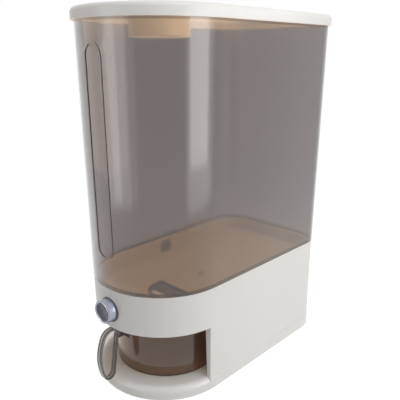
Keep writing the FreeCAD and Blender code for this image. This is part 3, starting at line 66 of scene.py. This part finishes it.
def moulding_group():
    """The faint unevenness of a moulded skin: slow flow marks, fine gloss changes and ripple."""
    group = bpy.data.node_groups.new("moulding", "ShaderNodeTree")
    for name, start in (("Flow Scale", 9.0), ("Ripple Scale", 260.0)):
        socket = group.interface.new_socket(name, in_out="INPUT", socket_type="NodeSocketFloat")
        socket.default_value = start
    for name in ("Flow", "Gloss", "Ripple"):
        group.interface.new_socket(name, in_out="OUTPUT", socket_type="NodeSocketFloat")
    entry = group.nodes.new("NodeGroupInput")
    leave = group.nodes.new("NodeGroupOutput")
    place = group.nodes.new("ShaderNodeTexCoord")
    stretch = group.nodes.new("ShaderNodeMapping")
    stretch.inputs["Scale"].default_value = (1, 1, 0.3)
    link(group, place.outputs["Object"], stretch.inputs["Vector"])
    flow = group.nodes.new("ShaderNodeTexNoise")
    flow.inputs["Detail"].default_value = 3
    flow.inputs["Distortion"].default_value = 0.6
    link(group, stretch.outputs["Vector"], flow.inputs["Vector"])
    link(group, entry.outputs["Flow Scale"], flow.inputs["Scale"])
    link(group, flow.outputs["Fac"], leave.inputs["Flow"])
    ripple = group.nodes.new("ShaderNodeTexNoise")
    ripple.inputs["Detail"].default_value = 2
    link(group, place.outputs["Object"], ripple.inputs["Vector"])
    link(group, entry.outputs["Ripple Scale"], ripple.inputs["Scale"])
    link(group, ripple.outputs["Fac"], leave.inputs["Ripple"])
    gloss = group.nodes.new("ShaderNodeTexNoise")
    gloss.inputs["Scale"].default_value = GLOSS_SCALE
    gloss.inputs["Detail"].default_value = 4
    link(group, place.outputs["Object"], gloss.inputs["Vector"])
    link(group, gloss.outputs["Fac"], leave.inputs["Gloss"])
    return group


moulding = moulding_group()


def moulded(name, colour, shade, rough, spread=0.03, ripple=0.04, flow=9.0):
    """A moulded plastic: two close tones, an uneven gloss and a very slight ripple."""
    material = bpy.data.materials.new(name)
    material.use_nodes = True
    tree = material.node_tree
    shader = tree.nodes["Principled BSDF"]
    skin = tree.nodes.new("ShaderNodeGroup")
    skin.node_tree = moulding
    skin.inputs["Flow Scale"].default_value = flow
    tone = tree.nodes.new("ShaderNodeMix")
    tone.data_type = "RGBA"
    tone.inputs["A"].default_value = colour
    tone.inputs["B"].default_value = shade
    link(tree, skin.outputs["Flow"], tone.inputs["Factor"])
    link(tree, tone.outputs["Result"], shader.inputs["Base Color"])
    gloss = tree.nodes.new("ShaderNodeMapRange")
    gloss.inputs["To Min"].default_value = rough - spread
    gloss.inputs["To Max"].default_value = rough + spread
    link(tree, skin.outputs["Gloss"], gloss.inputs["Value"])
    link(tree, gloss.outputs["Result"], shader.inputs["Roughness"])
    bump = tree.nodes.new("ShaderNodeBump")
    bump.inputs["Strength"].default_value = ripple
    bump.inputs["Distance"].default_value = RIPPLE_HEIGHT
    link(tree, skin.outputs["Ripple"], bump.inputs["Height"])
    link(tree, bump.outputs["Normal"], shader.inputs["Normal"])
    return material


def smooth_twin(name, material, body, sharp=30, edge=0.0):
    """A copy of a CAD node with its triangles joined and its edges eased, to shade smoothly."""
    sharp_angle = math.radians(sharp)
    twin_mesh = nodes[name].data.copy()
    shape = bmesh.new()
    shape.from_mesh(twin_mesh)
    bmesh.ops.remove_doubles(shape, verts=shape.verts, dist=SAME_POINT)
    bmesh.ops.dissolve_limit(
        shape, angle_limit=SAME_PLANE, verts=shape.verts, edges=shape.edges)
    for face in shape.faces:
        face.smooth = True
    for rim in shape.edges:
        rim.smooth = rim.calc_face_angle(0) < sharp_angle
    shape.to_mesh(twin_mesh)
    shape.free()
    twin = bpy.data.objects.new(name + "_skin", twin_mesh)
    bpy.context.scene.collection.objects.link(twin)
    twin_mesh.materials.clear()
    twin_mesh.materials.append(material)
    if edge:
        eased = twin.modifiers.new("eased_edges", "BEVEL")
        eased.width = edge
        eased.segments = 2
        eased.limit_method = "ANGLE"
        eased.angle_limit = sharp_angle
        eased.harden_normals = True
    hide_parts(name)
    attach(twin, body)
    return twin


white_shell = moulded("white_shell", WHITE, WHITE_SHADE, WHITE_ROUGH)
smooth_twin("base_plate", white_shell, "base", edge=PLINTH_EDGE)
smooth_twin("base_housing", white_shell, "base", edge=HOUSING_EDGE)
smooth_twin("cup_bay", white_shell, "base")


# ---- Feet and screws ----
# Four rubber feet are pressed into the plinth. Zinc-plated pan-head screws hold the mouldings.

foot_rubber = moulded(
    "foot_rubber", (0.022, 0.022, 0.023, 1), (0.045, 0.043, 0.042, 1),
    rough=0.78, spread=0.12, ripple=0.5, flow=60)
smooth_twin("feet", foot_rubber, "base")


def metal(name, colour, shade, rough):
    """Bare or plated metal, with fine dull patches."""
    material = moulded(name, colour, shade, rough, spread=0.10, ripple=0.15, flow=400)
    material.node_tree.nodes["Principled BSDF"].inputs["Metallic"].default_value = 1
    return material


zinc = metal("zinc", (0.62, 0.62, 0.60, 1), (0.42, 0.43, 0.44, 1), rough=0.36)
for name in ("base_screws", "funnel_screw", "gate_guide_screws"):
    smooth_twin(name, zinc, "base")


# ---- Measuring works ----
# A white funnel under the hopper leads to a slot. A shutter slides in a guide below it, and
# a steel spring shuts it. The funnel's colour is painted darker and warmer than white, as
# painted shade inside the smoky hopper, and the throat and the sockets in its side walls
# carry painted shade inside.

RIGHT_SOCKET = (0.0745, 0.010, 0.1067)
LEFT_SOCKET = (-0.0745, 0.010, 0.1067)
# Painted shade for the inside of the sockets.
SOCKET_PAINTED_SHADE = (0.20, 0.17, 0.14, 1)
THROAT_ROUND = (0, -0.049, 0)
THROAT_CORNERS = (0, -0.0445, 0)
THROAT_MOUTH = (0.0891, 0.0884)
# Painted shade for the inside of the throat.
THROAT_PAINTED_SHADE = (0.13, 0.11, 0.10, 1)


def object_place(tree):
    return tree.nodes.new("ShaderNodeTexCoord").outputs["Object"]


def ramp(tree, value, start, end):
    """Rises from 0 at start to 1 at end, and start may be the larger."""
    node = tree.nodes.new("ShaderNodeMapRange")
    node.inputs["From Min"].default_value = start
    node.inputs["From Max"].default_value = end
    link(tree, value, node.inputs["Value"])
    return node.outputs["Result"]


def vector_step(tree, operation, first, second):
    """One sum on vectors. The second is a plain vector or comes from another node."""
    node = tree.nodes.new("ShaderNodeVectorMath")
    node.operation = operation
    link(tree, first, node.inputs[0])
    if isinstance(second, tuple):
        node.inputs[1].default_value = second
    else:
        link(tree, second, node.inputs[1])
    return node.outputs["Vector"]


def length_along(tree, vector, axes):
    """How long a vector is, measured along the chosen axes."""
    node = tree.nodes.new("ShaderNodeVectorMath")
    node.operation = "LENGTH"
    link(tree, vector_step(tree, "MULTIPLY", vector, axes), node.inputs[0])
    return node.outputs["Value"]


def past(tree, axis, start, end):
    """0 before start and 1 past end, along X, Y or Z of the object."""
    split = tree.nodes.new("ShaderNodeSeparateXYZ")
    link(tree, object_place(tree), split.inputs["Vector"])
    return ramp(tree, split.outputs[axis], start, end)


def around(tree, centre, axes, inner, outer):
    """1 within inner of a centre, measured along the chosen axes, and 0 past outer."""
    away = vector_step(tree, "SUBTRACT", object_place(tree), centre)
    return ramp(tree, length_along(tree, away, axes), outer, inner)


def both_of(tree, first, second, operation="MULTIPLY"):
    """Two masks as one: their overlap, or with MAXIMUM their sum."""
    node = tree.nodes.new("ShaderNodeMath")
    node.operation = operation
    link(tree, first, node.inputs[0])
    link(tree, second, node.inputs[1])
    return node.outputs["Value"]


def tint_where(material, mask, colour):
    """Lays a colour over a material's own where the mask is 1."""
    tree = material.node_tree
    shader = tree.nodes["Principled BSDF"]
    over = tree.nodes.new("ShaderNodeMix")
    over.data_type = "RGBA"
    over.inputs["B"].default_value = colour
    link(tree, shader.inputs["Base Color"].links[0].from_socket, over.inputs["A"])
    link(tree, mask, over.inputs["Factor"])
    link(tree, over.outputs["Result"], shader.inputs["Base Color"])


# Painted shade: the white funnel is coloured darker and warmer, for the shade inside the hopper.
funnel_plastic_painted_shade = moulded(
    "funnel_plastic_painted_shade", (0.46, 0.395, 0.31, 1), (0.40, 0.34, 0.26, 1),
    rough=0.42, spread=0.05, ripple=0.08, flow=14)
tree = funnel_plastic_painted_shade.node_tree
# Painted shade inside the sockets in the two side walls.
at_right = around(tree, RIGHT_SOCKET, (1, 0, 0), inner=0.0016, outer=0.0024)
at_left = around(tree, LEFT_SOCKET, (1, 0, 0), inner=0.0016, outer=0.0024)
in_ring = around(tree, RIGHT_SOCKET, (0, 1, 1), inner=0.0096, outer=0.0099)
in_socket = both_of(tree, both_of(tree, at_right, at_left, "MAXIMUM"), in_ring)
tint_where(funnel_plastic_painted_shade, in_socket, SOCKET_PAINTED_SHADE)
# Painted shade down the throat, below its mouth.
in_round = around(tree, THROAT_ROUND, (1, 1, 0), inner=0.0272, outer=0.0278)
across = around(tree, THROAT_CORNERS, (1, 0, 0), inner=0.0272, outer=0.0278)
along = around(tree, THROAT_CORNERS, (0, 1, 0), inner=0.0047, outer=0.0053)
in_outline = both_of(tree, in_round, both_of(tree, across, along), "MAXIMUM")
in_throat = both_of(tree, in_outline, past(tree, "Z", *THROAT_MOUTH))
tint_where(funnel_plastic_painted_shade, in_throat, THROAT_PAINTED_SHADE)
works_plastic = moulded(
    "works_plastic", (0.66, 0.65, 0.62, 1), (0.58, 0.57, 0.54, 1),
    rough=0.45, spread=0.06, ripple=0.1, flow=30)
steel = metal("steel", (0.62, 0.62, 0.63, 1), (0.46, 0.46, 0.48, 1), rough=0.24)
smooth_twin("funnel", funnel_plastic_painted_shade, "base")
smooth_twin("gate_guide", works_plastic, "base")
smooth_twin("shutter_gate", works_plastic, "button")
spring = smooth_twin("button_spring", steel, "base", sharp=60)
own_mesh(spring)


# ---- Push button ----
# A hollow cap with a dished face, sprayed with silver-grey lacquer, in a dark bezel. Its dish
# and its rounded edge are darker than the flat rim between them by painted shade.

BUTTON_AXIS = (0, 0, 0.097)
BUTTON_FRONT = (-0.1454, -0.1459)
# Painted shade for the dish and for the rounded front edge.
DISH_PAINTED_SHADE = (0.065, 0.075, 0.09, 1)
EDGE_PAINTED_SHADE = (0.16, 0.18, 0.22, 1)
lacquer = moulded(
    "lacquer", (0.37, 0.40, 0.47, 1), (0.29, 0.32, 0.38, 1),
    rough=0.26, spread=0.05, ripple=0.05, flow=120)
tree = lacquer.node_tree
tree.nodes["Principled BSDF"].inputs["Metallic"].default_value = 0.8
# Painted shade in the dish.
in_dish = around(tree, BUTTON_AXIS, (1, 0, 1), inner=0.0098, outer=0.0106)
tint_where(lacquer, in_dish, DISH_PAINTED_SHADE)
# Painted shade on the rounded front edge.
beyond = around(tree, BUTTON_AXIS, (1, 0, 1), inner=0.0122, outer=0.0118)
on_edge = both_of(tree, beyond, past(tree, "Y", *BUTTON_FRONT))
tint_where(lacquer, on_edge, EDGE_PAINTED_SHADE)
smooth_twin("button_cap", lacquer, "button", sharp=50)
ring_plastic = moulded(
    "ring_plastic", (0.07, 0.075, 0.09, 1), (0.10, 0.105, 0.12, 1),
    rough=0.38, spread=0.06, ripple=0.1, flow=80)
smooth_twin("button_bezel", ring_plastic, "base")


# ---- Hopper and measuring cup ----
# Both are moulded in smoky clear plastic. The hopper widens a little towards its top, a
# raised level frame runs round its bow, and light that has passed its walls is warm. The
# hopper's foot, the wall under the lid and its far wall carry painted shade, and the level
# frame carries a painted reflection and painted shade.

SMOKE = (0.70, 0.60, 0.51, 1)
SMOKE_STREAK = (0.66, 0.56, 0.47, 1)
# Painted light on the hopper: painted shade on the far wall seen from within, at the foot and
# under the lid's rim, then a painted reflection band and a painted shade line on the level frame.
FAR_WALL_PAINTED_SHADE = (0.042, 0.045, 0.068, 1)
FOOT_PAINTED_SHADE = (0.045, 0.032, 0.026, 1)
LIP_PAINTED_SHADOW = (0.20, 0.15, 0.12, 1)
FRAME_PAINTED_REFLECTION = (0.66, 0.54, 0.43, 1)
FRAME_PAINTED_SHADE = (0.28, 0.20, 0.15, 1)
WARM_LIGHT = (1.0, 0.89, 0.76, 1)
HOPPER_LIP = (0.3812, 0.3820)
HOPPER_FOOT = (0.1232, 0.1216)
FRAME_TOP = (0, 0, 0.3513)
FRAME_FOOT = (0, 0, 0.1667)
FRAME_FRONT = (-0.118, -0.122)
FRAME_BAND = (0.0102, 0.0128)
FRAME_LINE = (0.0097, 0.0104)
FRAME_SOFTNESS = 0.0002
HOPPER_MIDDLE = 0.02
INWARD = -0.01


def pick_shader(tree, mask, plain, other, target):
    """Sends plain to the target socket, and other where the mask is 1."""
    pick = tree.nodes.new("ShaderNodeMixShader")
    link(tree, mask, pick.inputs["Fac"])
    link(tree, plain, pick.inputs[1])
    link(tree, other, pick.inputs[2])
    link(tree, pick.outputs["Shader"], target)


def clear_plastic(name, tint, streak, inner, rough, shine=0.5, coat=0.0, clear=1.0):
    """Tinted clear plastic with faint upright streaks. Lamps light what is behind it."""
    material = moulded(name, tint, streak, rough, spread=0.01, ripple=0.0, flow=14)
    tree = material.node_tree
    shader = tree.nodes["Principled BSDF"]
    shader.inputs["Transmission Weight"].default_value = clear
    shader.inputs["IOR"].default_value = 1.5
    shader.inputs["Specular IOR Level"].default_value = shine
    shader.inputs["Coat Weight"].default_value = coat
    shader.inputs["Coat Roughness"].default_value = 0.2
    rays = tree.nodes.new("ShaderNodeLightPath")
    passing = tree.nodes.new("ShaderNodeBsdfTransparent")
    passing.inputs["Color"].default_value = inner
    lit = both_of(tree, rays.outputs["Is Shadow Ray"], rays.outputs["Is Diffuse Ray"], "MAXIMUM")
    surface = tree.nodes["Material Output"].inputs["Surface"]
    pick_shader(tree, lit, shader.outputs["BSDF"], passing.outputs["BSDF"], surface)
    return material


inner_wall = clear_plastic("smoky_inner_wall", SMOKE, SMOKE_STREAK, WARM_LIGHT, rough=0.09)
outer_wall = clear_plastic(
    "smoky_outer_wall", SMOKE, SMOKE_STREAK, WARM_LIGHT, rough=0.09, shine=0.16, coat=0.75)

# On the level frame of the bow, a light band is a painted reflection and a darker line at its
# inner side is painted shade. It runs
# round a middle line that is upright, so it has straight sides and half-round ends.
tree = outer_wall.node_tree
place = object_place(tree)
below_top = vector_step(tree, "MINIMUM", place, FRAME_TOP)
above_foot = vector_step(tree, "MAXIMUM", below_top, FRAME_FOOT)
nearest = vector_step(tree, "MULTIPLY", above_foot, (0, 0, 1))
reach = length_along(tree, vector_step(tree, "SUBTRACT", place, nearest), (1, 0, 1))
facing = past(tree, "Y", *FRAME_FRONT)


def ring(inside, outside):
    """1 on the bow between two distances from the frame's middle line."""
    near = ramp(tree, reach, inside - FRAME_SOFTNESS, inside + FRAME_SOFTNESS)
    far = ramp(tree, reach, outside + FRAME_SOFTNESS, outside - FRAME_SOFTNESS)
    return both_of(tree, both_of(tree, near, far), facing)


# Painted reflection: a light band along the level frame.
tint_where(outer_wall, ring(*FRAME_BAND), FRAME_PAINTED_REFLECTION)
# Painted shade: a darker line along the frame's inner side.
tint_where(outer_wall, ring(*FRAME_LINE), FRAME_PAINTED_SHADE)
# Painted shadow on the hopper's wall just under the lid's rim.
tint_where(outer_wall, past(tree, "Z", *HOPPER_LIP), LIP_PAINTED_SHADOW)
# Painted shade along the foot of the hopper's walls, inside and out.
for wall in (inner_wall, outer_wall):
    tint_where(wall, past(wall.node_tree, "Z", *HOPPER_FOOT), FOOT_PAINTED_SHADE)
# Painted shade: the outer wall is darker where it is seen from inside, so what shows through the
# far wall looks dim.
sides = tree.nodes.new("ShaderNodeNewGeometry")
tint_where(outer_wall, sides.outputs["Backfacing"], FAR_WALL_PAINTED_SHADE)
hopper_skin = smooth_twin("hopper", outer_wall, "base")
hopper_skin.data.materials.append(inner_wall)
for face in hopper_skin.data.polygons:
    outward = Vector((face.center.x, face.center.y - HOPPER_MIDDLE, 0))
    face.material_index = 1 if face.normal.dot(outward) < INWARD else 0

# The cup's handle has a thick clear rim round a thin, paler web.
CUP_SMOKE = (0.56, 0.43, 0.33, 1)
CUP_STREAK = (0.525, 0.395, 0.295, 1)
CUP_LIGHT = (0.96, 0.87, 0.77, 1)
HANDLE_RIM = (0.085, 0.085, 0.08, 1)
HANDLE_WEB = (0.68, 0.62, 0.58, 1)
HANDLE_START = (-0.1170, -0.1190)
smoky_cup = clear_plastic(
    "smoky_cup", CUP_SMOKE, CUP_STREAK, CUP_LIGHT, rough=0.12, shine=0.14, clear=0.94)
tree = smoky_cup.node_tree
in_front = past(tree, "Y", *HANDLE_START)
tint_where(smoky_cup, in_front, HANDLE_RIM)
on_middle = around(tree, (0, 0, 0), (1, 0, 0), inner=0.0009, outer=0.0013)
tint_where(smoky_cup, both_of(tree, on_middle, in_front), HANDLE_WEB)
smooth_twin("measuring_cup", smoky_cup, "cup")


# ---- Lid and moisture box ----
# The lid lifts off. A round slotted box for a drying sachet hangs under it, and soft seals
# lie under the lid and between hopper and housing.

smooth_twin("lid", white_shell, "lid_body")
smooth_twin("moisture_box", white_shell, "lid_body")
smooth_twin("moisture_cover", white_shell, "lid_body")
pouch_paper = moulded(
    "pouch_paper", (0.80, 0.80, 0.77, 1), (0.70, 0.69, 0.66, 1),
    rough=0.85, spread=0.05, ripple=0.9, flow=300)
smooth_twin("moisture_sachet", pouch_paper, "lid_body")
seal_rubber = moulded(
    "seal_rubber", (0.62, 0.62, 0.60, 1), (0.56, 0.56, 0.54, 1),
    rough=0.6, spread=0.08, ripple=0.3, flow=90)
smooth_twin("lid_seal", seal_rubber, "lid_body")
smooth_twin("hopper_seal", seal_rubber, "base")


# ---- Room: floor, light and camera ----
# A white floor and surround, soft lamps, pale cards that only show in reflections, and a
# camera at the front right.

FLOOR_HALF = 6
FLOOR_DROP = 0.0002
FLOOR_GREY = (0.8, 0.8, 0.8, 1)
FLOOR_SHADE = (0.3, 0.3, 0.3, 1)
FLOOR_PALE = 0.9
PURE_WHITE = (1, 1, 1, 1)
ROOM_LIGHT = 0.35


def seen_rays(tree):
    """1 for rays that show the background: to the camera, in gloss, and through clear plastic."""
    rays = tree.nodes.new("ShaderNodeLightPath").outputs
    direct = both_of(tree, rays["Is Camera Ray"], rays["Is Glossy Ray"], "MAXIMUM")
    return both_of(tree, direct, rays["Is Transmission Ray"], "MAXIMUM")


floor_mesh = bpy.data.meshes.new("floor")
sheet = bmesh.new()
bmesh.ops.create_grid(sheet, x_segments=1, y_segments=1, size=FLOOR_HALF)
sheet.to_mesh(floor_mesh)
sheet.free()
floor = bpy.data.objects.new("floor", floor_mesh)
bpy.context.scene.collection.objects.link(floor)
floor_paint = bpy.data.materials.new("floor_paint")
floor_paint.use_nodes = True
tree = floor_paint.node_tree
shader = tree.nodes["Principled BSDF"]
shader.inputs["Base Color"].default_value = FLOOR_GREY
shader.inputs["Roughness"].default_value = 0.9
pale = tree.nodes.new("ShaderNodeEmission")
pale.inputs["Strength"].default_value = FLOOR_PALE
shade = tree.nodes.new("ShaderNodeBsdfDiffuse")
shade.inputs["Color"].default_value = FLOOR_SHADE
both = tree.nodes.new("ShaderNodeAddShader")
link(tree, pale.outputs["Emission"], both.inputs[0])
link(tree, shade.outputs["BSDF"], both.inputs[1])
surface = tree.nodes["Material Output"].inputs["Surface"]
pick_shader(tree, seen_rays(tree), shader.outputs["BSDF"], both.outputs["Shader"], surface)
floor_mesh.materials.append(floor_paint)
floor.location.z = -FLOOR_DROP

world = bpy.data.worlds.new("surround")
bpy.context.scene.world = world
world.use_nodes = True
tree = world.node_tree
room = tree.nodes["Background"]
room.inputs["Color"].default_value = PURE_WHITE
room.inputs["Strength"].default_value = ROOM_LIGHT
white = tree.nodes.new("ShaderNodeBackground")
white.inputs["Color"].default_value = PURE_WHITE
white.inputs["Strength"].default_value = 1
surface = tree.nodes["World Output"].inputs["Surface"]
pick_shader(
    tree, seen_rays(tree), room.outputs["Background"], white.outputs["Background"], surface)


def lamp(name, place, target, width, height, power, spread=180):
    """A rectangular lamp that faces its target. Sizes are in metres and power in watts."""
    data = bpy.data.lights.new(name, "AREA")
    data.shape = "RECTANGLE"
    data.size = width
    data.size_y = height
    data.energy = power
    data.spread = math.radians(spread)
    holder = bpy.data.objects.new(name, data)
    bpy.context.scene.collection.objects.link(holder)
    holder.location = place
    direction = Vector(target) - Vector(place)
    holder.rotation_euler = direction.to_track_quat("-Z", "Y").to_euler()
    return holder


MIDDLE = (0, 0, 0.2)
WARM_WALL = (1.0, 0.74, 0.55)
lamps = (
    lamp("key", (0.60, 0.16, 0.27), (0.08, 0.10, 0.25), 0.34, 0.34, 1.22),
    lamp("top", (0.4, -0.2, 1.3), MIDDLE, 0.9, 0.9, 7.6),
    lamp("fill", (-0.32, 0.44, 0.03), (0, 0, 0.39), 0.30, 0.10, 0.98, spread=60),
    lamp("lid_side", (0.50, -0.12, 0.25), (0.04, 0, 0.39), 0.16, 0.06, 0.027, spread=34),
)
for light in lamps:
    light.visible_camera = False
    light.visible_glossy = False
    light.visible_transmission = False

cards = (
    lamp("band", (0.60, 0.05, 0.285), (0.08, 0.05, 0.285), 0.30, 0.33, 0.68),
    lamp("band_foot", (0.61, 0.065, 0.235), (0.08, 0.065, 0.235), 0.37, 0.43, 0.31),
    lamp("band_glow", (0.62, 0.09, 0.235), (0.08, 0.09, 0.235), 0.50, 0.43, 0.43),
    lamp("left_band", (-0.17, -0.68, 0.30), MIDDLE, 0.14, 0.56, 0.27),
    lamp("left_glow", (-0.11, -0.69, 0.29), MIDDLE, 0.36, 0.56, 0.46),
    lamp("left_haze", (-0.10, -0.70, 0.28), MIDDLE, 0.60, 0.54, 0.42),
    lamp("warm_side", (-0.42, -0.72, 0.36), MIDDLE, 1.10, 0.66, 1.4),
)
cards[-1].data.color = WARM_WALL
for card in cards:
    card.visible_diffuse = False

EYE = (0.3946, -0.4135, 0.3535)
BEARING = math.radians(43.62)
DROP = math.radians(16.23)
camera_data = bpy.data.cameras.new("camera")
camera_data.sensor_width = 36
camera_data.lens = 45.30
camera = bpy.data.objects.new("camera", camera_data)
bpy.context.scene.collection.objects.link(camera)
level = math.cos(DROP)
ahead = Vector((-math.sin(BEARING) * level, math.cos(BEARING) * level, -math.sin(DROP)))
camera.location = EYE
camera.rotation_euler = ahead.to_track_quat("-Z", "Y").to_euler()
bpy.context.scene.camera = camera
bpy.context.scene.view_settings.view_transform = "Standard"
